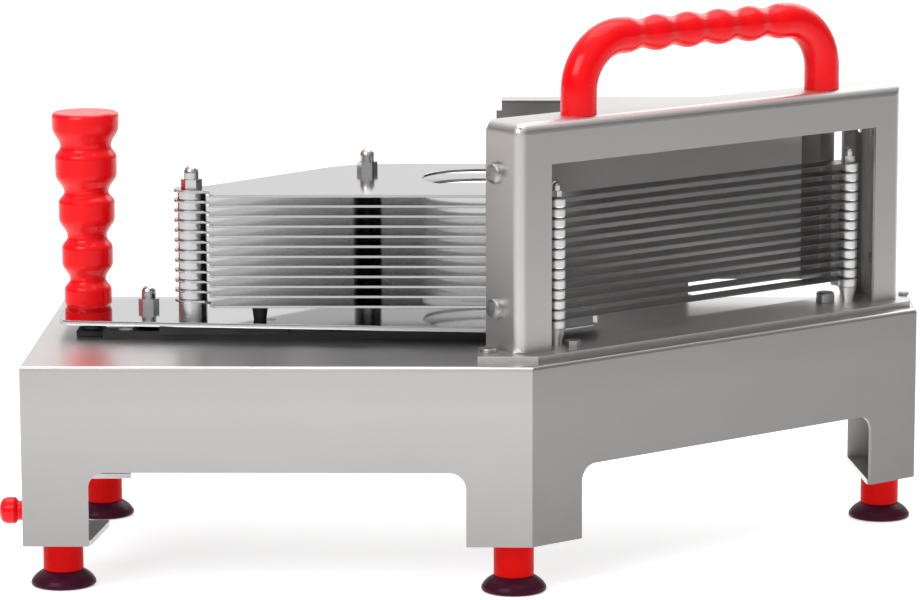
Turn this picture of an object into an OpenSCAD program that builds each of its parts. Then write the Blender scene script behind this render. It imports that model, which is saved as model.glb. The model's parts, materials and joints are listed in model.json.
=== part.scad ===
// Manual tomato and vegetable slicer: a pusher carriage slides past a slanted pack of blades.
// Millimetres, +Z up, the feet stand on z = 0, the front face looks towards -Y.
// u runs along the slanted front face from the front corner, n runs square to it, inwards.

/* [Base] */
// full length of the base, left to right
base_len = 487; // [480:1:495]
// length of the straight front face, up to the front corner
front_len = 270; // [266:1:272]
// depth of the base, front to back
base_depth = 217; // [215:1:222]
// angle of the slanted front face, and of the blades
face_angle = 39; // [38.5:0.5:39.5]
// height of the base top above the table
deck_z = 124; // [118:1:130]
// sheet thickness of the base
sheet = 2; // [1.5:0.5:2]
// height of the base sides above the leg cut-outs
skirt_h = 57; // [50:1:65]
// width of each leg
leg_w = 35; // [32:1:38]
// corner radius of the leg cut-outs
arch_r = 9; // [6:1:12]

/* [Feet] */
// height of the sheet legs above the table
leg_z = 27; // [25:1:30]
// outside diameter of the red foot tubes
tube_d = 21.6; // [20:0.2:23]
// diameter of the suction cups
cup_d = 35; // [32:0.5:35]

/* [Blade pack] */
// number of blades, one more than there are pusher plates
blades = 13; // [9:1:13]
// distance from one blade to the next
pitch = 5.5; // [5.3:0.1:5.5]
// thickness of one blade
blade_t = 0.5; // [0.3:0.1:0.6]
// width of one blade
blade_w = 14; // [10:0.5:14]
// diameter of the spacer rings between the blades
ring_d = 10.4; // [9.6:0.2:10.4]
// diameter of the blade rods
rod_d = 4; // [3.5:0.5:4]

/* [Blade frame] */
// width of the frame
frame_w = 278; // [276:1:278]
// height of the frame
frame_h = 122.7; // [120:0.1:126]
// depth of the frame
frame_d = 28.5; // [27:0.5:29]
// width of the frame's left post
post_w = 22; // [20:0.5:23]
// height of the frame's top beam
beam_h = 22.7; // [20:0.1:24]

/* [Carry handle] */
// diameter of the handle's legs and bumps
handle_d = 19.6; // [18:0.2:20]
// diameter of the necks between the bumps
handle_neck_d = 15.6; // [14:0.2:17]
// distance between the handle's legs
handle_span = 176.2; // [170:0.2:178]
// height of the handle's bar above the frame
handle_rise = 40.3; // [38:0.1:46]

/* [Carriage] */
// thickness of the sled plate
sled_t = 2.5; // [2:0.5:2.5]
// thickness of one pusher plate
pusher_t = 1.5; // [1:0.1:1.5]
// diameter of the round pocket for the tomato
pocket_d = 67; // [60:1:67]
// height of the grip
grip_h = 108.5; // [102:0.5:112]

/* [Hidden] */
$fn = 64;
eps = 0.02;
knob_reach = 15;
slant_len = (base_len - front_len) / cos(face_angle);
right_y = (base_len - front_len) * tan(face_angle);
feet = [[18, 29], [260, 18], [base_len - 18, 195], [22, 197]];
plate_t = 3;
foot_plate_t = 3;
frame_u = 6;
frame_n = 18.5;
frame_t = 2;
frame_z = deck_z + plate_t;
frame_top = frame_z + frame_h;
right_post_w = post_w - 1.5;
rod_n = 31;
rod_u = [41, 254.5];
stack_z = deck_z + 11.5;
ring_h = pitch - blade_t;
stack_top = stack_z + blades * pitch;
rod_block_n = 40;
handle_u = 57.8;
handle_n = 32.5;
bend_r = 28.5;
bump_pitch = 22.4;
bar_z = frame_top + handle_rise;
bolt_n = [37.3, 31.5];
bracket_fix = [[18, 30], [274.5, 25.8]];
bolt_z = [deck_z + 25.8, deck_z + 98.2];
sled_z = deck_z + 10;
pusher_z = stack_z + ring_h + blade_t / 2 + pitch / 2 - pusher_t / 2;
plates = blades - 1;
pusher_top = pusher_z + (plates - 1) * pitch + pusher_t;
stud_xy = [[84, 96], [177, 164]];
stud_d = 6;
grip_xy = [23, 128];
pad_bolt_xy = [57, 124];
rail_y = [79, 91];
rail_x = [36, 286];
rail_h = 4.6;
glide_x = [67, 137];
glide_gap = 0.4;
glide_screw_xy = [[78, 85], [126, 85], [165, 151.5]];
guard_y = 208;
guard_x = [252, 423];
guard_step = [249, 109];
guard_t = 1.5;
guard_gap = 11.7;
guard_top = deck_z + 116.7;
cover_t = 1.5;
knob_y = 25;
knob_z = deck_z - 83;
plate_fix_xy = [[246.5, 27.5], [291.5, 43.5], [435.6, 181.5], [482, 204.5]];
plate_fix_r = [4.6, 4.2, 5.2, 3];
plate_fix_h = [2.2, 3.6, 6, 2];
guard_fix_x = [270, 340];
guard_fix_y = 212.6;
red = [0.85, 0.06, 0.06];
steel = [0.72, 0.71, 0.7];
bright = [0.85, 0.85, 0.86];
black = [0.06, 0.06, 0.07];

// ---- placing ----

// moves the design so that its bounding box is centred on the origin
module centred() {
  translate([(knob_reach - base_len) / 2, -base_depth / 2, 0]) children();
}

// local axes of the slanted front face: x is u, y is n
module slanted() {
  translate([front_len, 0, 0]) rotate([0, 0, face_angle]) children();
}

// plan position of a point given in u and n
function plan(u, n) = [
  front_len + u * cos(face_angle) - n * sin(face_angle),
  u * sin(face_angle) + n * cos(face_angle)
];

// a straight hole or pin along Z, between two heights
module post(xy, z0, z1, d) {
  translate([xy[0], xy[1], z0]) cylinder(h = z1 - z0, d = d);
}

// hexagonal nut with a bore, across flats af
module hex_nut(xy, z0, af, h, bore) {
  translate([xy[0], xy[1], z0]) difference() {
    cylinder(h = h, d = af / cos(30), $fn = 6);
    translate([0, 0, -1]) cylinder(h = h + 2, d = bore);
  }
}

// domed nut standing on z0, blind bore of the given depth from below
module acorn(xy, z0, af, h, bore, deep) {
  hex_h = h * 0.4;
  dome_r = af * 0.41;
  translate([xy[0], xy[1], z0]) difference() {
    union() {
      cylinder(h = hex_h, d = af / cos(30), $fn = 6);
      cylinder(h = h - dome_r, r = dome_r);
      translate([0, 0, h - dome_r]) sphere(r = dome_r);
    }
    translate([0, 0, -1]) cylinder(h = deep + 1, d = bore);
  }
}

// countersunk screw with its flat head flush at z1, shank down to z0
module flush_screw(xy, z0, z1, d) {
  post(xy, z0, z1 - d / 2, d);
  translate([xy[0], xy[1], z1 - d / 2]) cylinder(h = d / 2, d1 = d, d2 = 2 * d);
}

// the hole that a flush screw sits in
module flush_hole(xy, z0, z1, d) {
  post(xy, z0, z1, d + 0.1);
  translate([xy[0], xy[1], z1 - d / 2]) cylinder(h = d / 2 + eps, d1 = d + 0.1, d2 = 2 * d + 0.2);
}

// ---- base ----

// plan outline of the base, moved in by i
module outline(i) {
  polygon([
    [i, i],
    [front_len + i * (cos(face_angle) - 1) / sin(face_angle), i],
    [base_len - i, ((base_len - i - front_len) * sin(face_angle) + i) / cos(face_angle)],
    [base_len - i, base_depth - i],
    [i, base_depth - i]
  ]);
}

// profile of one leg cut-out, open at the bottom
module arch(w, h) {
  translate([0, -1]) square([w, h - arch_r + 1]);
  translate([arch_r, -1]) square([w - 2 * arch_r, h + 1]);
  translate([arch_r, h - arch_r]) circle(r = arch_r);
  translate([w - arch_r, h - arch_r]) circle(r = arch_r);
}

// cuts an arch through a wall that lies along x
module wall_cut(x0, w, y) {
  cut_h = deck_z - skirt_h - leg_z;
  translate([x0, y + sheet + 1, leg_z]) rotate([90, 0, 0]) linear_extrude(sheet + 2) arch(w, cut_h);
}

module base_shell() {
  color(steel) centred() difference() {
    translate([0, 0, leg_z]) linear_extrude(deck_z - leg_z) outline(0);
    translate([0, 0, leg_z - 1]) linear_extrude(deck_z - leg_z - sheet + 1) outline(sheet);
    wall_cut(leg_w, front_len - 2 * leg_w, 0);
    wall_cut(leg_w, base_len - 2 * leg_w, base_depth - sheet);
    slanted() wall_cut(leg_w - 1, slant_len - 2 * leg_w + 2, 0);
    translate([-1, 50, leg_z]) rotate([90, 0, 90]) linear_extrude(sheet + 2)
      arch(base_depth - 100, deck_z - skirt_h - leg_z);
    for (u = rod_u) post(plan(u, rod_n), deck_z - 5, deck_z + 1, rod_d + 0.4);
    for (i = [0:3]) post(plate_fix_xy[i], deck_z - 5, deck_z + 1, plate_fix_r[i] + 0.4);
    for (b = bracket_fix) post(plan(b[0], b[1]), deck_z - 5, deck_z + 1, 4.4);
    for (x = [rail_x[0] + 12, rail_x[1] - 12]) post([x, 85], deck_z - 5, deck_z + 1, 4.4);
    for (x = guard_fix_x) post([x, guard_fix_y], deck_z - 5, deck_z + 1, 3.4);
    translate([-1, knob_y, knob_z]) rotate([0, 90, 0]) cylinder(h = sheet + 2, d = 10);
  }
}

// plan shapes of the four gusset plates that close the legs
module gusset(i) {
  if (i == 0) polygon([[sheet, sheet], [leg_w + 1, sheet], [leg_w + 6, 46], [leg_w + 6, 50], [sheet, 50]]);
  if (i == 1) polygon([
    [front_len - leg_w + 2, sheet],
    [front_len + sheet * (cos(face_angle) - 1) / sin(face_angle), sheet],
    plan(leg_w - 3, sheet), [front_len + 6, 42], [front_len - leg_w + 5, 42]
  ]);
  if (i == 2) polygon([
    plan(slant_len - leg_w, sheet), plan(slant_len - 4, sheet),
    [base_len - sheet, right_y + 2], [base_len - sheet, base_depth - sheet],
    [base_len - leg_w, base_depth - sheet]
  ]);
  if (i == 3) polygon([
    [sheet, base_depth - 50], [leg_w + 6, base_depth - 50], [leg_w + 6, base_depth - 46],
    [leg_w + 1, base_depth - sheet], [sheet, base_depth - sheet]
  ]);
}

module foot_plates() {
  color(steel) centred() for (i = [0:3]) difference() {
    translate([0, 0, leg_z]) linear_extrude(foot_plate_t) gusset(i);
    post(feet[i], leg_z - 1, leg_z + foot_plate_t + 1, 6.4);
  }
}

module foot_tubes() {
  color(red) centred() for (f = feet) translate([f[0], f[1], 8]) difference() {
    rotate_extrude() polygon([
      [0, 0], [tube_d / 2 - 0.6, 0], [tube_d / 2, 0.6], [tube_d / 2, leg_z - 8.6],
      [tube_d / 2 - 0.6, leg_z - 8], [0, leg_z - 8]
    ]);
    translate([0, 0, -1]) cylinder(h = leg_z, d = 6.4);
  }
}

module suction_cups() {
  r = cup_d / 2;
  color([0.12, 0.1, 0.22]) centred() for (f = feet) translate([f[0], f[1], 0]) difference() {
    rotate_extrude() polygon([
      [0, 3.8], [6, 3.4], [11, 2.2], [r - 2.2, 0], [r - 0.6, 0], [r, 0.8], [r - 0.2, 2.2],
      [r - 1.4, 4], [r - 3, 5.6], [r - 5, 7], [r - 6.6, 8], [0, 8]
    ]);
    translate([0, 0, 5]) cylinder(h = 4, d = 6);
  }
}

module foot_studs() {
  color(bright) centred() for (f = feet) post(f, 5, 36, 6);
}

module foot_nuts() {
  color(bright) centred() for (f = feet) hex_nut(f, leg_z + foot_plate_t, 10, 4.6, 6.1);
}

// ---- side knob ----

module side_knob() {
  r = 7.2;
  color(red) centred() translate([0, knob_y, knob_z]) rotate([0, -90, 0]) difference() {
    rotate_extrude() polygon([
      [0, 1.6], [5.8, 1.6], [5.8, 2.8], [5.2, 3.6], [5.2, 5], [r - 0.6, 6], [r, 7], [r, 11],
      [r - 0.7, 13], [r - 2.2, 14.3], [r - 4, 14.8], [0, knob_reach]
    ]);
    cylinder(h = 9, d = 6);
  }
}

module side_knob_screw() {
  color(bright) centred() translate([0, knob_y, knob_z]) rotate([0, 90, 0])
    translate([0, 0, -9]) union() {
      cylinder(h = 23, d = 6);
      translate([0, 0, 23]) cylinder(h = 2, d1 = 6, d2 = 4.4);
    }
}

module side_knob_bushing() {
  color(steel) centred() translate([0, knob_y, knob_z]) rotate([0, 90, 0]) difference() {
    union() {
      translate([0, 0, -1.2]) cylinder(h = 1.2, d = 12.6);
      cylinder(h = 9, d = 10);
    }
    translate([0, 0, -2]) cylinder(h = 12, d = 6.12);
  }
}

// ---- mounting plate and blade frame ----

module mounting_plate() {
  color(steel) centred() difference() {
    translate([0, 0, deck_z]) linear_extrude(plate_t) polygon([
      [241, 14],
      [front_len + (14 * cos(face_angle) - 9) / sin(face_angle), 14],
      [base_len - 3, ((base_len - 3 - front_len) * sin(face_angle) + 9) / cos(face_angle)],
      [base_len - 3, 214],
      [front_len + (214 * cos(face_angle) - 50) / sin(face_angle), 214],
      [241, ((241 - front_len) * sin(face_angle) + 50) / cos(face_angle)]
    ]);
    for (u = rod_u) post(plan(u, rod_n), deck_z - 1, frame_z + 1, rod_d + 0.4);
    for (i = [0:3]) post(plate_fix_xy[i], deck_z - 1, frame_z + 1, plate_fix_r[i] + 0.4);
    for (b = bracket_fix) post(plan(b[0], b[1]), deck_z - 1, frame_z + 1, 4.4);
  }
}

module mounting_plate_fasteners() {
  color(bright) centred() for (i = [0:3]) {
    r = plate_fix_r[i];
    h = plate_fix_h[i];
    xy = plate_fix_xy[i];
    post(xy, deck_z - 8, frame_z + h * 0.5, r);
    if (i == 1)
      translate([xy[0], xy[1], frame_z]) cylinder(h = h, d = 2 * r, $fn = 6);
    else
      translate([xy[0], xy[1], frame_z]) rotate_extrude()
        polygon([[0, 0], [r, 0], [r, h * 0.75], [r * 0.93, h * 0.92], [r * 0.8, h], [0, h]]);
    translate([xy[0], xy[1], deck_z - sheet - 3.2]) cylinder(h = 3.2, d = r * 1.9, $fn = 6);
  }
}

// the angle inside the left post
module left_bracket() {
  difference() {
    union() {
      translate([0, 24, frame_z]) cube([3, 20, 104]);
      translate([0, 24, frame_z]) cube([18, 20, 3]);
    }
    for (z = bolt_z) translate([-1, bolt_n[0], z]) rotate([0, 90, 0]) cylinder(h = 6, d = 5.4);
    translate([bracket_fix[0][0] - frame_u - frame_t, bracket_fix[0][1], frame_z - 1])
      cylinder(h = 6, d = 4.4);
  }
}

// the narrower angle hidden behind the face of the right post
module right_bracket() {
  u1 = frame_u + frame_w - frame_t;
  difference() {
    union() {
      translate([u1 - 3, 21.5, frame_z]) cube([3, 17, 104]);
      translate([0, 0, frame_z]) linear_extrude(3)
        polygon([[u1, 21.5], [u1 - 14, 21.5], [u1 - 5.5, 33], [u1 - 5.5, 38.5], [u1, 38.5]]);
    }
    for (z = bolt_z) translate([u1 - 4, bolt_n[1], z]) rotate([0, 90, 0]) cylinder(h = 6, d = 5.4);
    translate([bracket_fix[1][0], bracket_fix[1][1], frame_z - 1]) cylinder(h = 6, d = 4.4);
  }
}

module post_brackets() {
  color(steel) centred() slanted() {
    translate([frame_u + frame_t, 0, 0]) left_bracket();
    right_bracket();
  }
}

module bracket_screws() {
  color(bright) centred() slanted() for (b = bracket_fix) {
    post(b, deck_z - 8, frame_z + 4, 4);
    post(b, frame_z + 3, frame_z + 6.2, 7);
    translate([b[0], b[1], deck_z - sheet - 3.2]) cylinder(h = 3.2, d = 8, $fn = 6);
  }
}

module blade_frame() {
  u1 = frame_u + frame_w;
  inner_h = frame_h - beam_h;
  color(steel) centred() slanted() difference() {
    union() {
      translate([frame_u, frame_n, frame_z]) cube([frame_w, frame_t, frame_h]);
      translate([frame_u, frame_n, frame_top - frame_t]) cube([frame_w, frame_d, frame_t]);
      for (u = [frame_u, u1 - frame_t]) translate([u, frame_n, frame_z]) cube([frame_t, frame_d, frame_h]);
      translate([frame_u, frame_n + frame_d - frame_t, frame_z]) cube([frame_w, frame_t, frame_h]);
    }
    translate([frame_u + post_w, frame_n - 1, frame_z - 1])
      cube([frame_w - post_w - right_post_w, frame_t + 2, inner_h + 1]);
    translate([frame_u + post_w, frame_n + frame_t, frame_z - 1])
      cube([frame_w - post_w - right_post_w, frame_d, frame_h - 11]);
    for (z = bolt_z, i = [0, 1]) translate([i == 0 ? frame_u - 1 : u1 - frame_t - 1, bolt_n[i], z])
      rotate([0, 90, 0]) cylinder(h = frame_t + 2, d = 5.4);
    translate([u1 - 8, frame_n + frame_d - frame_t - 1, deck_z + 98]) rotate([-90, 0, 0])
      cylinder(h = frame_t + 2, d = 3.4);
    for (u = [0, handle_span]) post([handle_u + u, handle_n], frame_top - 5, frame_top + 1, 6.4);
  }
}

// domed bolt through one of the frame's outer sides and its bracket
module side_bolt(n, z) {
  translate([-4.6, n, z]) rotate([0, 90, 0]) rotate_extrude()
    polygon([[0, 0], [3.6, 0.2], [4.8, 0.7], [5.5, 1.6], [5.8, 2.8], [5.8, 4.6], [2.5, 4.6], [2.5, 14.2], [0, 14.2]]);
}

module frame_side_bolts() {
  color(bright) centred() slanted() for (z = bolt_z) {
    translate([frame_u, 0, 0]) side_bolt(bolt_n[0], z);
    translate([frame_u + frame_w, 0, 0]) mirror([1, 0, 0]) side_bolt(bolt_n[1], z);
  }
}

module frame_bolt_nuts() {
  color(bright) centred() slanted() for (z = bolt_z) {
    translate([frame_u + 5, bolt_n[0], z]) rotate([0, 90, 0]) hex_nut([0, 0], 0, 8, 4, 5.1);
    translate([frame_u + frame_w - 9, bolt_n[1], z]) rotate([0, 90, 0]) hex_nut([0, 0], 0, 8, 4, 5.1);
  }
}

// ---- blade pack ----

module blade_rods() {
  color(bright) centred() slanted() for (u = rod_u) {
    post([u, rod_n], deck_z - 8, stack_top + 2.8, rod_d);
    translate([u, rod_n, deck_z - sheet - 3.2]) cylinder(h = 3.2, d = 8, $fn = 6);
  }
}

module rod_cone_nuts() {
  color(bright) centred() slanted() for (u = rod_u) translate([u, rod_n, frame_z]) difference() {
    union() {
      cylinder(h = 2, d = 6.8);
      translate([0, 0, 2]) cylinder(h = stack_z - frame_z - 2, d1 = 6.8, d2 = ring_d);
    }
    translate([0, 0, -1]) cylinder(h = 12, d = rod_d + 0.1);
  }
}

// a barrel-shaped ring in front with a straight block behind it, in one piece
module blade_spacers() {
  r = ring_d / 2;
  color(bright) centred() slanted() for (u = rod_u, k = [0:blades - 1])
    translate([u, rod_n, stack_z + k * pitch]) difference() {
      union() {
        rotate_extrude() polygon([
          [0, 0], [r - 0.7, 0], [r - 0.2, 0.25], [r, 0.8], [r, ring_h - 0.8],
          [r - 0.2, ring_h - 0.25], [r - 0.7, ring_h], [0, ring_h]
        ]);
        translate([-r + 0.6, 0, 0.3]) cube([2 * r - 1.2, rod_block_n - rod_n, ring_h - 0.6]);
      }
      translate([0, 0, -1]) cylinder(h = ring_h + 2, d = rod_d + 0.1);
    }
}

module slicing_blades() {
  color(bright) centred() slanted() for (k = [0:blades - 1])
    translate([0, rod_n, stack_z + ring_h + k * pitch]) linear_extrude(blade_t) difference() {
      translate([rod_u[0] - 4.6, -4.5]) square([rod_u[1] - rod_u[0] + 9.2, blade_w]);
      for (u = rod_u) translate([u, 0]) circle(d = rod_d + 0.1);
    }
}

module rod_acorn_nuts() {
  color(bright) centred() slanted() for (u = rod_u) acorn([u, rod_n], stack_top, 5.6, 8.4, rod_d + 0.1, 3.2);
}

// ---- carry handle ----

// radius of the bar at a distance s from its middle
function bar_r(s) = abs(s) > 2.5 * bump_pitch ? handle_d / 2
  : (handle_d + handle_neck_d) / 4 - (handle_d - handle_neck_d) / 4 * cos(360 * s / bump_pitch);

module carry_handle() {
  half = handle_span / 2 - bend_r;
  steps = 60;
  color(red) centred() slanted() translate([handle_u + handle_span / 2, handle_n, 0]) difference() {
    union() {
      for (side = [-1, 1]) post([side * handle_span / 2, 0], frame_top, bar_z - bend_r, handle_d);
      for (a = [0, 90]) translate([(a == 0 ? 1 : -1) * half, 0, bar_z - bend_r]) rotate([90, 0, 0])
        rotate([0, 0, a]) rotate_extrude(angle = 90) translate([bend_r, 0]) circle(d = handle_d);
      translate([-half, 0, bar_z]) rotate([0, 90, 0]) rotate_extrude() polygon(concat(
        [[0, 0]],
        [for (i = [0:steps]) [bar_r(-half + 2 * half * i / steps), 2 * half * i / steps]],
        [[0, 2 * half]]
      ));
    }
    for (side = [-1, 1]) post([side * handle_span / 2, 0], frame_top - 1, frame_top + 20, 6);
  }
}

module handle_screws() {
  color(bright) centred() slanted() for (u = [0, handle_span]) {
    post([handle_u + u, handle_n], frame_top - frame_t - 1, frame_top + 18, 6);
    translate([handle_u + u, handle_n, frame_top - frame_t - 6]) cylinder(h = 5.9, d = 10);
    post([handle_u + u, handle_n], frame_top - frame_t - 1.4, frame_top - frame_t, 12);
  }
}

// ---- rear guard ----

module rear_guard() {
  end_xy = [guard_x[1], guard_y];
  end_u = (end_xy[0] - front_len) * cos(face_angle) + end_xy[1] * sin(face_angle);
  end_n = end_xy[1] * cos(face_angle) - (end_xy[0] - front_len) * sin(face_angle);
  wall_h = guard_top - cover_t - deck_z;
  color(steel) centred() difference() {
    union() {
      translate([guard_x[0], guard_y, deck_z]) cube([guard_x[1] - guard_x[0] + 0.9, guard_t, wall_h]);
      translate([guard_step[0], guard_y, deck_z]) cube([guard_x[0] - guard_step[0] + 1, guard_t, guard_step[1]]);
      translate([guard_x[0] + 4, guard_y, deck_z]) cube([105, 9, guard_t]);
      slanted() translate([end_u, 50, deck_z + guard_gap]) cube([guard_t, end_n - 50, wall_h - guard_gap]);
      slanted() translate([end_u, 50, deck_z + guard_gap]) cube([11, guard_t, wall_h - guard_gap]);
    }
    translate([359, guard_y - 4, deck_z - 1]) cube([90, 9, guard_gap + 1]);
    for (x = guard_fix_x) post([x, guard_fix_y], deck_z - 1, deck_z + 3, 3.4);
  }
}

module guard_screws() {
  color(bright) centred() for (x = guard_fix_x) {
    post([x, guard_fix_y], deck_z - 5, deck_z + 2, 3);
    post([x, guard_fix_y], deck_z + guard_t, deck_z + guard_t + 1.8, 5.4);
  }
}

module guard_cover() {
  color(steel) centred() translate([0, 0, guard_top - cover_t]) linear_extrude(cover_t) polygon([
    plan(48, frame_n + frame_d),
    [292, 194],
    [guard_x[0], 194],
    [guard_x[0], guard_y + guard_t],
    [guard_x[1] + 1, guard_y + guard_t],
    plan(257, frame_n + frame_d)
  ]);
}

// ---- fixed guide ----

module guide_rail() {
  color(black) centred() difference() {
    translate([rail_x[0], rail_y[0], deck_z]) cube([rail_x[1] - rail_x[0], rail_y[1] - rail_y[0], rail_h]);
    for (x = [rail_x[0] + 12, rail_x[1] - 12]) flush_hole([x, 85], deck_z - 1, deck_z + rail_h, 4);
  }
}

module rail_screws() {
  color(bright) centred() for (x = [rail_x[0] + 12, rail_x[1] - 12])
    flush_screw([x, 85], deck_z - 5, deck_z + rail_h, 4);
}

module rest_pad() {
  color(black) centred() translate([20.6, 87.5, deck_z]) cube([15, 15, 3.3]);
}

// ---- carriage ----

module sled_plate() {
  z0 = sled_z - sled_t;
  color(steel) centred() difference() {
    union() {
      translate([0, 0, z0]) linear_extrude(sled_t) polygon([
        [10, 108], [10.6, 92], [11.6, 86], [14, 82.3], [18, 80.8], [275, 58], [283.5, 58], [303, 73],
        [305, 76], [305, 112], [270, 150], [270, 172.5], [165, 172.5], [140, 148], [16, 148],
        [11.8, 146.2], [10, 142]
      ]);
      translate([302.5, 76, z0]) cube([2.5, 34, 8]);
    }
    for (s = stud_xy) translate([s[0], s[1], z0 - eps]) cylinder(h = 3, d1 = 11.4, d2 = 6);
    for (s = stud_xy) post(s, z0 - 1, sled_z + 1, stud_d + 0.1);
    post(grip_xy, z0 - 1, sled_z + 1, stud_d + 0.1);
    post(pad_bolt_xy, z0 - 1, sled_z + 1, stud_d + 0.1);
    for (s = glide_screw_xy) flush_hole(s, z0 - 1, sled_z, 4);
  }
}

module glide_shoes() {
  z0 = sled_z - sled_t;
  low = deck_z + plate_t + glide_gap;
  color(black) centred() difference() {
    union() {
      translate([glide_x[0], rail_y[0] - 3.5, low]) cube([
        glide_x[1] - glide_x[0], rail_y[1] - rail_y[0] + 7, z0 - low
      ]);
      translate([152, 144.5, deck_z + glide_gap]) cube([26, 14.5, z0 - deck_z - glide_gap]);
      post(pad_bolt_xy, deck_z + glide_gap, z0, 17);
    }
    translate([glide_x[0] - 1, rail_y[0] - glide_gap, deck_z]) cube([
      glide_x[1] - glide_x[0] + 2, rail_y[1] - rail_y[0] + 2 * glide_gap, rail_h + glide_gap
    ]);
    for (i = [0:1]) post(glide_screw_xy[i], deck_z, z0 + 1, 4.1);
    post(glide_screw_xy[2], deck_z + 3, z0 + 1, 4.1);
    post(pad_bolt_xy, deck_z, z0 + 1, stud_d + 0.1);
    translate([pad_bolt_xy[0], pad_bolt_xy[1], deck_z]) cylinder(h = 4, d = 11);
  }
}

module glide_screws() {
  z0 = sled_z - sled_t;
  color(bright) centred() {
    for (i = [0:1]) flush_screw(glide_screw_xy[i], z0 - 1.4, sled_z, 4);
    flush_screw(glide_screw_xy[2], z0 - 4, sled_z, 4);
  }
}

module pad_bolt() {
  color(bright) centred() {
    post(pad_bolt_xy, deck_z + 4, sled_z + 8, stud_d);
    translate([pad_bolt_xy[0], pad_bolt_xy[1], deck_z + 1]) cylinder(h = 3, d = 10.6);
  }
}

// outline of the grip: height above the sled and diameter, two points for each flat bulge
grip_shape = [
  [0, 24.4], [2.5, 26.2], [9.5, 26.2], [15.5, 19.8], [24.5, 28.2], [33, 28.2], [39.2, 21.8],
  [50, 31.2], [58.5, 31.2], [64.1, 24.6], [74.5, 34.2], [83.5, 34.2], [89.7, 28.2], [100.5, 37]
];

// diameter between two listed points, as a smooth wave
function wave(a, b, t) = a + (b - a) * (1 - cos(180 * t)) / 2;

module grip() {
  k = grip_h / 108.5;
  steps = 6;
  last = len(grip_shape) - 1;
  outline_pts = [for (i = [0:last - 1], j = [0:steps - 1]) [
    wave(grip_shape[i][1], grip_shape[i + 1][1], j / steps) / 2,
    (grip_shape[i][0] + (grip_shape[i + 1][0] - grip_shape[i][0]) * j / steps) * k
  ]];
  color(red) centred() translate([grip_xy[0], grip_xy[1], sled_z]) difference() {
    rotate_extrude() polygon(concat(
      [[0, 0]], outline_pts,
      [[18.5, 102 * k], [18.5, 106.6 * k], [18.1, 107.7 * k], [17.1, grip_h], [0, grip_h]]
    ));
    translate([0, 0, -1]) cylinder(h = 61, d = stud_d);
  }
}

module grip_bolt() {
  color(bright) centred() post(grip_xy, deck_z + 3.8, sled_z + 58, stud_d);
}

module grip_washer() {
  z0 = sled_z - sled_t;
  color(black) centred() difference() {
    post(grip_xy, deck_z + 5.4, z0, 11);
    post(grip_xy, deck_z, z0 + 1, stud_d + 0.1);
  }
}

module grip_nut() {
  color(bright) centred() hex_nut(grip_xy, deck_z + 3.8, 10, 1.6, stud_d + 0.1);
}

// ---- pusher ----

// plan shape of one pusher plate: narrow tail on the first stud, round pocket on the right
module pusher_shape() {
  pocket_r = pocket_d / 2;
  difference() {
    union() {
      translate(stud_xy[0]) circle(r = 10);
      polygon([
        [84, 86], [91, 86], [95, 82], [95, 74], [98, 71], [256, 71], [284, 93.5], [284, 138],
        [248, 138], [248, 192], [203, 192], [180, 190.6], [166, 186.5], [155, 178], [92, 106],
        [84, 106]
      ]);
    }
    translate([242, 138]) circle(r = pocket_r);
    translate([242, 138 - pocket_r]) square([60, pocket_d]);
    for (s = stud_xy) translate(s) circle(d = stud_d + 0.1);
  }
}

module pusher_plates() {
  color(bright) centred() for (k = [0:plates - 1])
    translate([0, 0, pusher_z + k * pitch]) linear_extrude(pusher_t) pusher_shape();
}

module ring(xy, z0, h, d) {
  difference() {
    post(xy, z0, z0 + h, d);
    post(xy, z0 - 1, z0 + h + 1, stud_d + 0.1);
  }
}

module pusher_spacers() {
  color(bright) centred() for (s = stud_xy, k = [0:plates - 2])
    ring(s, pusher_z + k * pitch + pusher_t, pitch - pusher_t, 16);
}

module pusher_base_spacers() {
  color(bright) centred() for (s = stud_xy) ring(s, sled_z, pusher_z - sled_z, 16);
}

module pusher_studs() {
  z0 = sled_z - sled_t;
  color(bright) centred() for (s = stud_xy) {
    post(s, z0, pusher_top + 7, stud_d);
    translate([s[0], s[1], z0]) cylinder(h = 2.5, d1 = 11, d2 = 6);
  }
}

module acorn_nuts() {
  color(bright) centred() {
    for (s = stud_xy) acorn(s, pusher_top, 10, 12.8, stud_d + 0.1, 9);
    acorn(pad_bolt_xy, sled_z, 10, 12.4, stud_d + 0.1, 8.7);
  }
}

// rubber cone between the sled and the lowest plate
module plate_bumper() {
  color(black) centred() translate([121.4, 84.6, sled_z])
    cylinder(h = pusher_z - sled_z, r1 = 3.4, r2 = 4.6);
}

// rubber disc under the front left of the sled, clear of the rail
module sled_bumper() {
  z0 = sled_z - sled_t;
  color(black) centred() translate([30, 87, z0 - 2.5]) rotate_extrude()
    polygon([[0, 0], [4.4, 0], [5, 0.6], [5, 2.5], [0, 2.5]]);
}

base_shell();
foot_plates();
foot_tubes();
suction_cups();
foot_studs();
foot_nuts();
side_knob();
side_knob_screw();
side_knob_bushing();
mounting_plate();
mounting_plate_fasteners();
post_brackets();
bracket_screws();
blade_frame();
frame_side_bolts();
frame_bolt_nuts();
blade_rods();
rod_cone_nuts();
blade_spacers();
slicing_blades();
rod_acorn_nuts();
carry_handle();
handle_screws();
rear_guard();
guard_screws();
guard_cover();
guide_rail();
rail_screws();
rest_pad();
sled_plate();
glide_shoes();
glide_screws();
pad_bolt();
grip();
grip_bolt();
grip_washer();
grip_nut();
pusher_plates();
pusher_spacers();
pusher_base_spacers();
pusher_studs();
acorn_nuts();
plate_bumper();
sled_bumper();
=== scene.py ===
import json
import math

import bmesh
import bpy
from mathutils import Matrix, Vector

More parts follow.
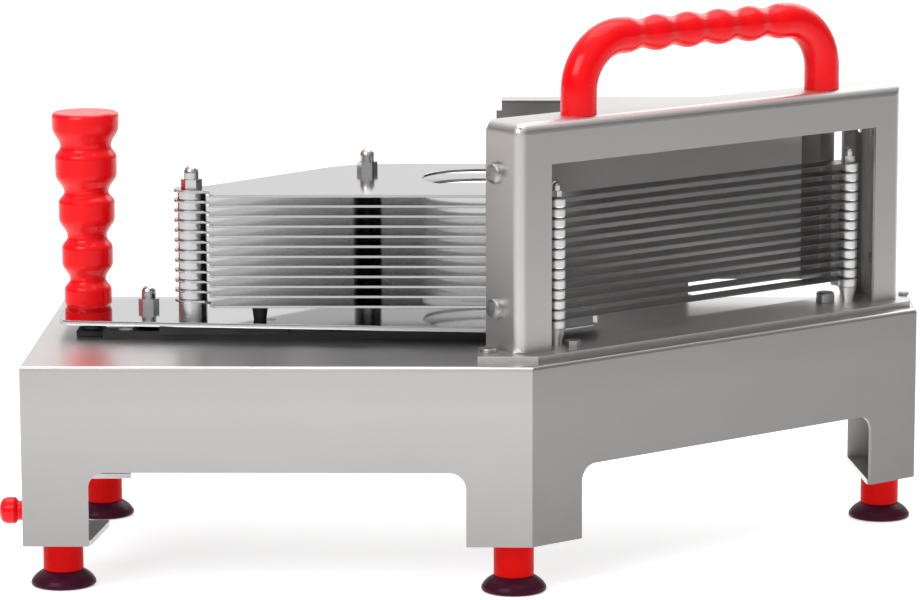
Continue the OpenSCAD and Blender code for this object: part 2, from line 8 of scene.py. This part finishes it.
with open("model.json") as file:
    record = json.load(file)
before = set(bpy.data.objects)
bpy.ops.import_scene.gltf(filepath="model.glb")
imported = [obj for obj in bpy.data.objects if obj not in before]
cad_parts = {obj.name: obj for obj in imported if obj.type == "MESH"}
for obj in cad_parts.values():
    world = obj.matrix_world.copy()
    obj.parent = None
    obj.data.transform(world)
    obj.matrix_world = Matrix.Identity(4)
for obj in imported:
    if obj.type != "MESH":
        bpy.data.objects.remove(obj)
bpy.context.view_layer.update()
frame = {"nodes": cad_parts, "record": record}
nodes = frame["nodes"]
slot_of = {s["node"]: s["material_slot"] for s in frame["record"]["subparts"]}

FACE_ANGLE = math.radians(39)        # the slanted front, measured from the straight one
CORNER = 270.0                       # where the two fronts meet, in millimetres of the design
DESIGN_CENTRE = (236.0, 108.5)       # the shared frame's origin, in millimetres of the design
SAME_POINT = 0.000002                # metres
SLIVER = 0.00002                     # metres; faces thinner than this have no reliable normal


# ---- node helpers ----

class Graph:
    """A material's node tree, with short calls for the nodes used here."""

    def __init__(self, name):
        self.material = bpy.data.materials.new(name)
        self.material.use_nodes = True
        self.tree = self.material.node_tree
        self.shader = self.tree.nodes["Principled BSDF"]
        self.coords = self.tree.nodes.new("ShaderNodeTexCoord")

    def link(self, source, target):
        self.tree.links.new(source, target)

    def set(self, **values):
        for key, value in values.items():
            self.shader.inputs[key.replace("_", " ")].default_value = value

    def mapping(self, scale, turn=0.0):
        node = self.tree.nodes.new("ShaderNodeMapping")
        node.inputs["Scale"].default_value = scale
        turned = self.tree.nodes.new("ShaderNodeVectorRotate")
        turned.rotation_type = "Z_AXIS"
        turned.inputs["Angle"].default_value = -turn
        self.link(self.coords.outputs["Object"], turned.inputs["Vector"])
        self.link(turned.outputs[0], node.inputs["Vector"])
        return node.outputs[0]

    def noise(self, scale, detail=3.0, rough=0.55, turn=0.0):
        node = self.tree.nodes.new("ShaderNodeTexNoise")
        node.inputs["Scale"].default_value = 1.0
        node.inputs["Detail"].default_value = detail
        node.inputs["Roughness"].default_value = rough
        self.link(self.mapping(scale, turn), node.inputs["Vector"])
        return node.outputs["Fac"]

    def remap(self, value, low, high, to_low, to_high):
        node = self.tree.nodes.new("ShaderNodeMapRange")
        node.inputs["From Min"].default_value = low
        node.inputs["From Max"].default_value = high
        node.inputs["To Min"].default_value = to_low
        node.inputs["To Max"].default_value = to_high
        self.link(value, node.inputs["Value"])
        return node.outputs[0]

    def math(self, kind, a, b):
        node = self.tree.nodes.new("ShaderNodeMath")
        node.operation = kind
        for index, value in enumerate((a, b)):
            if isinstance(value, (int, float)):
                node.inputs[index].default_value = value
            else:
                self.link(value, node.inputs[index])
        return node.outputs[0]

    def blend(self, factor, a, b):
        node = self.tree.nodes.new("ShaderNodeMix")
        self.link(factor, node.inputs["Factor"])
        for name, value in (("A", a), ("B", b)):
            if isinstance(value, (int, float)):
                node.inputs[name].default_value = value
            else:
                self.link(value, node.inputs[name])
        return node.outputs["Result"]

    def tint(self, factor, dark, light):
        node = self.tree.nodes.new("ShaderNodeMix")
        node.data_type = "RGBA"
        node.inputs["A"].default_value = (*dark, 1)
        node.inputs["B"].default_value = (*light, 1)
        self.link(factor, node.inputs["Factor"])
        return node.outputs["Result"]

    def flat_top(self):
        """1 on faces that look up or down, 0 on upright faces."""
        split = self.tree.nodes.new("ShaderNodeSeparateXYZ")
        self.link(self.coords.outputs["Normal"], split.inputs[0])
        size = self.tree.nodes.new("ShaderNodeMath")
        size.operation = "ABSOLUTE"
        self.link(split.outputs["Z"], size.inputs[0])
        return self.remap(size.outputs[0], 0.6, 0.8, 0.0, 1.0)

    def painted_facing_shade(self, upright=1.0, under=1.0, slant=1.0, low=1.0):
        """Painted shade: how much darker upright faces, faces that look down, faces along the
        slanted front and faces near the floor are painted, next to high faces that look up."""
        split = self.tree.nodes.new("ShaderNodeSeparateXYZ")
        self.link(self.coords.outputs["Normal"], split.inputs[0])
        along = self.tree.nodes.new("ShaderNodeVectorMath")
        along.operation = "DOT_PRODUCT"
        along.inputs[1].default_value = (math.sin(FACE_ANGLE), -math.cos(FACE_ANGLE), 0.0)
        self.link(self.coords.outputs["Normal"], along.inputs[0])
        geometry = self.tree.nodes.new("ShaderNodeNewGeometry")
        place = self.tree.nodes.new("ShaderNodeSeparateXYZ")
        self.link(geometry.outputs["Position"], place.inputs[0])
        by_tilt = self.math("MULTIPLY", self.remap(self.flat_top(), 0.0, 1.0, upright, 1.0),
                            self.remap(split.outputs["Z"], -0.8, -0.6, under, 1.0))
        by_place = self.math("MULTIPLY", self.remap(along.outputs["Value"], 0.90, 0.99, 1.0, slant),
                             self.remap(place.outputs["Z"], 0.03, 0.10, low, 1.0))
        return self.math("MULTIPLY", by_tilt, by_place)

    def bump(self, height, strength, distance):
        node = self.tree.nodes.new("ShaderNodeBump")
        node.inputs["Strength"].default_value = strength
        node.inputs["Distance"].default_value = distance
        self.link(height, node.inputs["Height"])
        self.link(node.outputs[0], self.shader.inputs["Normal"])


def scaled(color, factor):
    return tuple(min(1.0, channel * factor) for channel in color)


# ---- materials ----

def brushed(name, color, rough, spread=0.035, fine=3600.0, bump=0.03, turn=0.0, blotch=0.03,
            level_rough=0.0, **shade_tones):
    """Sheet steel with a straight grain: level on upright faces, along the sheet on flat ones.
    level_rough is how much smoother level faces are than upright ones; the remaining keywords set
    the painted shade put into the colour."""
    g = Graph(name)
    upright = g.noise((2.5, 2.5, fine), 4, 0.65, turn)
    level = g.noise((2.5, fine, 2.5), 4, 0.65, turn)
    flat = g.flat_top()
    grain = g.blend(flat, upright, level)
    cloud = g.noise((9, 9, 14), 3, 0.5, turn)
    smear = g.noise((34, 34, 60), 4, 0.6, turn)
    shade = g.math("ADD", g.math("MULTIPLY", grain, 0.62), g.math("MULTIPLY", cloud, 0.38))
    base = g.tint(g.remap(shade, 0.34, 0.66, 0.0, 1.0),
                  scaled(color, 1 - blotch), scaled(color, 1 + blotch))
    # the base colour is darkened by painted shade on chosen faces
    lit = g.tree.nodes.new("ShaderNodeVectorMath")
    lit.operation = "SCALE"
    g.link(base, lit.inputs[0])
    g.link(g.painted_facing_shade(**shade_tones), lit.inputs["Scale"])
    g.link(lit.outputs[0], g.shader.inputs["Base Color"])
    streak = g.remap(grain, 0.3, 0.7, rough - spread, rough + spread)
    haze = g.remap(smear, 0.35, 0.7, -0.3 * spread, 0.6 * spread)
    polish = g.math("MULTIPLY", flat, level_rough)
    g.link(g.math("SUBTRACT", g.math("ADD", streak, haze), polish), g.shader.inputs["Roughness"])
    g.set(Metallic=1.0)
    g.bump(grain, bump, 0.00006)
    return g.material


def turned(name, color, rough, fine=3200.0, bump=0.04):
    """Turned or polished steel, with fine rings around Z and a little tarnish."""
    g = Graph(name)
    rings = g.noise((60, 60, fine), 3, 0.6)
    tarnish = g.noise((120, 120, 120), 4, 0.6)
    g.link(g.tint(g.remap(tarnish, 0.35, 0.65, 0.0, 1.0), scaled(color, 0.95), color),
           g.shader.inputs["Base Color"])
    g.link(g.math("ADD", g.remap(rings, 0.3, 0.7, rough * 0.7, rough * 1.4),
                  g.remap(tarnish, 0.45, 0.7, 0.0, 0.04)), g.shader.inputs["Roughness"])
    g.set(Metallic=1.0)
    g.bump(rings, bump, 0.00004)
    return g.material


def moulded(name, color, rough, coat=0.12, wear=0.04, peel=0.05, gloss=0.16):
    """Glossy moulded plastic with a faint orange peel, uneven colour and handling haze."""
    g = Graph(name)
    cloud = g.noise((28, 28, 28), 3, 0.5)
    haze = g.noise((190, 190, 190), 4, 0.65)
    skin = g.noise((620, 620, 620), 2, 0.5)
    base = g.tint(g.remap(cloud, 0.3, 0.7, 0.0, 1.0),
                  scaled(color, 1 - wear * 2), scaled(color, 1 + wear))
    g.link(base, g.shader.inputs["Base Color"])
    g.link(g.remap(haze, 0.35, 0.75, rough - 0.03, rough + 0.10), g.shader.inputs["Roughness"])
    g.set(Coat_Weight=coat, Coat_Roughness=0.08, Specular_IOR_Level=gloss, IOR=1.4)
    g.bump(skin, peel, 0.00008)
    return g.material


def matt(name, color, rough, grit=900.0, bump=0.25):
    """Matt plastic or rubber with a fine grain and a dusty look."""
    g = Graph(name)
    grain = g.noise((grit, grit, grit), 3, 0.6)
    dust = g.noise((70, 70, 70), 4, 0.6)
    g.link(g.tint(g.remap(dust, 0.4, 0.75, 0.0, 1.0), color, scaled(color, 1.9)),
           g.shader.inputs["Base Color"])
    g.link(g.remap(grain, 0.3, 0.7, rough - 0.06, rough + 0.08), g.shader.inputs["Roughness"])
    g.bump(grain, bump, 0.0001)
    return g.material


SHEET = (0.650, 0.636, 0.630)
bright = {"fine": 4200.0, "bump": 0.015, "blotch": 0.015}
made = {
    "brushed_sheet": brushed("steel_brushed_sheet", SHEET, 0.38, level_rough=0.04),
    # painted shade: the base is darker on upright faces, darker still on the slanted front, and
    # darker towards the floor
    "base_sheet": brushed("steel_base", SHEET, 0.38, level_rough=0.04, upright=0.79,
                          slant=0.62, low=0.66),
    # painted shade: faces along the slanted front are darker
    "slanted_sheet": brushed("steel_slanted_sheet", SHEET, 0.38, turn=FACE_ANGLE, slant=0.75),
    # painted shade: the guard's steel is painted darker than the other sheet
    "guard_sheet": brushed("steel_guard", scaled(SHEET, 0.66), 0.34),
    # painted shade: the guard cover's upright faces are darker
    "cover_sheet": brushed("steel_guard_cover", SHEET, 0.36, upright=0.45),
    "polished_sheet": brushed("steel_polished_sheet", (0.54, 0.54, 0.545), 0.07, 0.015, **bright),
    # painted shade: the undersides of the pusher plates are nearly black
    "plate_sheet": brushed("steel_pusher_plate", (0.53, 0.53, 0.535), 0.12, 0.02, **bright,
                           level_rough=0.02, under=0.10),
    "polished_steel": turned("steel_polished", (0.86, 0.86, 0.855), 0.40),
    # painted shade: the blades are painted dark, and darker still on upright faces
    "blade_steel": brushed("steel_blade", (0.30, 0.297, 0.295), 0.30, 0.02, 4200.0, 0.02,
                           turn=FACE_ANGLE, blotch=0.015, upright=0.40),
    "screw_steel": turned("steel_screw", (0.60, 0.595, 0.585), 0.26),
    # painted shade: bolt steel is darker than screw steel
    "bolt_steel": turned("steel_bolt", (0.42, 0.415, 0.41), 0.34),
    "nut_steel": turned("steel_nut", (0.70, 0.70, 0.695), 0.17),
    "red_plastic": moulded("plastic_red", (0.96, 0.002, 0.006), 0.20, coat=0.26, gloss=0.20),
    "red_foot_plastic": moulded("plastic_foot_red", (0.62, 0.002, 0.001), 0.26,
                                coat=0.04, gloss=0.05),
    "black_plastic": matt("plastic_black", (0.011, 0.011, 0.012), 0.46),
    "black_rubber": matt("rubber_black", (0.012, 0.012, 0.012), 0.62),
    "cup_rubber": moulded("rubber_cup_violet", (0.050, 0.004, 0.018), 0.32, 0.05, 0.10, 0.06, 0.12),
}
# Pieces whose look differs from the rest of their record slot; several of these looks carry painted
# shade.
surface_of = {
    "base_shell": "base_sheet",
    "mounting_plate": "slanted_sheet", "blade_frame": "slanted_sheet",
    "post_brackets": "slanted_sheet",
    "pusher_plates": "plate_sheet", "rear_guard": "guard_sheet", "guard_cover": "cover_sheet",
    "frame_side_bolts": "bolt_steel", "mounting_plate_fasteners": "bolt_steel",
    "acorn_nuts": "nut_steel", "rod_acorn_nuts": "nut_steel",
    "pusher_spacers": "nut_steel", "pusher_base_spacers": "nut_steel",
}


# ---- edges ----

def clean(node):
    """Drops the imported shading normals, so that modifiers can build their own."""
    attribute = node.data.attributes.get("custom_normal")
    if attribute:
        node.data.attributes.remove(attribute)
    weld = node.modifiers.new("weld", "WELD")
    weld.merge_threshold = SAME_POINT


def shade_by_angle(mesh, limit=math.radians(20)):
    """Smooth shading on curved surfaces only, so that flat sheets keep one true normal."""
    work = bmesh.new()
    work.from_mesh(mesh)
    source = work.faces.layers.int.new("source")
    for index, face in enumerate(work.faces):
        face[source] = index
    bmesh.ops.remove_doubles(work, verts=work.verts, dist=SAME_POINT)
    slivers = {face for face in work.faces
               if face.calc_area() < SLIVER * max(edge.calc_length() for edge in face.edges)}
    curved = set()
    for edge in work.edges:
        if len(edge.link_faces) != 2 or slivers.intersection(edge.link_faces):
            continue
        if math.radians(2) < edge.calc_face_angle(0.0) < limit:
            curved.update(face[source] for face in edge.link_faces)
    work.free()
    for polygon in mesh.polygons:
        polygon.use_smooth = polygon.index in curved


def soften(name, width):
    """Small rounded edges on a CAD piece, so that its edges catch the light."""
    node = nodes[name]
    clean(node)
    flat = node.modifiers.new("flat", "DECIMATE")
    flat.decimate_type = "DISSOLVE"
    flat.angle_limit = math.radians(0.3)
    bevel = node.modifiers.new("edges", "BEVEL")
    bevel.width = width
    bevel.segments = 2
    bevel.limit_method = "ANGLE"
    bevel.angle_limit = math.radians(35)
    bevel.use_clamp_overlap = True
    bevel.harden_normals = False
    shade_by_angle(node.data)


def rounded_bend(name, corners, width):
    """Rounds the folded edges that join the given corners, in millimetres of the design."""
    node = nodes[name]
    group = node.vertex_groups.new(name="bend")
    wanted = [Vector(((x - DESIGN_CENTRE[0]) / 1000, (y - DESIGN_CENTRE[1]) / 1000, z / 1000))
              for x, y, z in corners]
    found = [v.index for v in node.data.vertices
             if any((node.matrix_world @ v.co - w).length < 0.0002 for w in wanted)]
    group.add(found, 1.0, "REPLACE")
    bevel = node.modifiers.new("bend", "BEVEL")
    bevel.width = width
    bevel.segments = 8
    bevel.limit_method = "VGROUP"
    bevel.vertex_group = "bend"
    bevel.use_clamp_overlap = True
    order = [m.name for m in node.modifiers]
    node.modifiers.move(order.index("bend"), order.index("edges"))


def plan(u, n):
    """A point on the slanted axes, in millimetres of the design."""
    return (CORNER + u * math.cos(FACE_ANGLE) - n * math.sin(FACE_ANGLE),
            u * math.sin(FACE_ANGLE) + n * math.cos(FACE_ANGLE))


for name, node in nodes.items():
    slot = surface_of.get(name, slot_of[name])
    if not node.material_slots:
        node.data.materials.append(made[slot])
    for material_slot in node.material_slots:
        material_slot.material = made[slot]

for name, width in {
    "base_shell": 0.0009, "foot_plates": 0.0004, "mounting_plate": 0.0006, "post_brackets": 0.0004,
    "blade_frame": 0.0007, "rear_guard": 0.0004, "guard_cover": 0.0004, "guide_rail": 0.0005,
    "sled_plate": 0.0005, "pusher_plates": 0.0003, "slicing_blades": 0.0001,
    "glide_shoes": 0.0005, "rest_pad": 0.0005,
    "mounting_plate_fasteners": 0.0003,
}.items():
    soften(name, width)


rounded_bend("base_shell", [
    (0, 0, 124), (CORNER, 0, 124), (487, 175.723, 124), (487, 217, 124), (0, 217, 124),
], 0.0022)
rounded_bend("blade_frame", [
    (*plan(6, 18.5), 127), (*plan(6, 18.5), 249.7),
    (*plan(284, 18.5), 249.7), (*plan(284, 18.5), 127),
    (*plan(6, 47), 249.7),
], 0.0058)


# ---- floor, light and camera ----

floor_mesh = bpy.data.meshes.new("floor")
floor_mesh.from_pydata([(-9, -9, 0), (9, -9, 0), (9, 9, 0), (-9, 9, 0)], [], [(0, 1, 2, 3)])
floor = bpy.data.objects.new("floor", floor_mesh)
floor.location.z = -0.0004
bpy.context.scene.collection.objects.link(floor)
# Floor: its colour is painted darker away from the object, and its emission is painted light,
# strongest near the object where it fills the object's shadow, and rising towards the back.
floor_graph = Graph("floor_paper")
distance = floor_graph.tree.nodes.new("ShaderNodeVectorMath")
distance.operation = "LENGTH"
floor_graph.link(floor_graph.coords.outputs["Object"], distance.inputs[0])
painted_falloff = floor_graph.remap(distance.outputs["Value"], 0.30, 0.70, 0.0, 1.0)
floor_graph.link(floor_graph.tint(painted_falloff, (0.93, 0.93, 0.93), (0.74, 0.74, 0.74)),
                 floor_graph.shader.inputs["Base Color"])
floor_axes = floor_graph.tree.nodes.new("ShaderNodeSeparateXYZ")
floor_graph.link(floor_graph.coords.outputs["Object"], floor_axes.inputs[0])
backdrop = floor_graph.remap(floor_axes.outputs["Y"], 0.2, 1.2, 0.0, 1.0)
# painted light: emission that fills the object's shadow on the floor
near = floor_graph.remap(distance.outputs["Value"], 0.28, 0.80, 1.0, 0.0)
painted_glow = floor_graph.math("MAXIMUM", near, backdrop)
floor_graph.link(floor_graph.tint(painted_glow, (0, 0, 0), (0.52, 0.52, 0.52)),
                 floor_graph.shader.inputs["Emission Color"])
floor_graph.set(Roughness=0.85, Specular_IOR_Level=0.1, Emission_Strength=1.0)
floor_mesh.materials.append(floor_graph.material)

world = bpy.data.worlds.new("studio")
bpy.context.scene.world = world
world.use_nodes = True
tree = world.node_tree
background = tree.nodes["Background"]
coords = tree.nodes.new("ShaderNodeTexCoord")
axes = tree.nodes.new("ShaderNodeSeparateXYZ")
tree.links.new(coords.outputs["Generated"], axes.inputs[0])
away = tree.nodes.new("ShaderNodeMath")
away.operation = "ABSOLUTE"
tree.links.new(axes.outputs["X"], away.inputs[0])


def world_ramp(source, low, high, to_low, to_high):
    """A straight ramp over one direction of the sky."""
    node = tree.nodes.new("ShaderNodeMapRange")
    node.inputs["From Min"].default_value = low
    node.inputs["From Max"].default_value = high
    node.inputs["To Min"].default_value = to_low
    node.inputs["To Max"].default_value = to_high
    tree.links.new(source, node.inputs["Value"])
    return node.outputs[0]


level = world_ramp(axes.outputs["Z"], -0.1, 0.9, 0.58, 1.05)
for factor in (world_ramp(away.outputs[0], 0.25, 0.95, 1.0, 0.26),
               world_ramp(axes.outputs["Y"], -0.9, 0.9, 0.72, 1.30)):
    product = tree.nodes.new("ShaderNodeMath")
    product.operation = "MULTIPLY"
    tree.links.new(level, product.inputs[0])
    tree.links.new(factor, product.inputs[1])
    level = product.outputs[0]
tree.links.new(level, background.inputs["Strength"])
background.inputs["Color"].default_value = (1, 1, 1, 1)


def soft_light(name, location, target, size, power):
    data = bpy.data.lights.new(name, "AREA")
    data.shape = "RECTANGLE"
    data.size, data.size_y = size
    data.energy = power
    light = bpy.data.objects.new(name, data)
    light.location = location
    light.rotation_euler = (Vector(target) - Vector(location)).to_track_quat("-Z", "Y").to_euler()
    bpy.context.scene.collection.objects.link(light)


middle = (0, 0, 0.12)
soft_light("key", (-1.4, -1.9, 1.9), middle, (1.8, 1.4), 36)
soft_light("top", (0.1, 0.3, 2.3), middle, (2.2, 1.6), 18)
soft_light("rim", (0.9, 1.7, 1.3), middle, (1.4, 0.8), 6)

pitch, yaw, roll = math.radians(9.958), math.radians(-1.117), math.radians(-0.149)
forward = Vector((math.sin(yaw) * math.cos(pitch), math.cos(yaw) * math.cos(pitch),
                  -math.sin(pitch)))
right = Vector((math.cos(yaw), -math.sin(yaw), 0))
up = right.cross(forward)
right, up = (math.cos(roll) * right + math.sin(roll) * up,
             math.cos(roll) * up - math.sin(roll) * right)
camera_data = bpy.data.cameras.new("camera")
camera_data.sensor_width = 36
camera_data.lens = 160.7
camera_data.clip_end = 50
camera = bpy.data.objects.new("camera", camera_data)
camera.matrix_world = Matrix((
    (right.x, up.x, -forward.x, 0.0373),
    (right.y, up.y, -forward.y, -2.2244),
    (right.z, up.z, -forward.z, 0.5314),
    (0, 0, 0, 1),
))
bpy.context.scene.collection.objects.link(camera)
bpy.context.scene.camera = camera

view = bpy.context.scene.view_settings
view.view_transform = "Standard"
view.look = "None"
view.exposure = 0.0
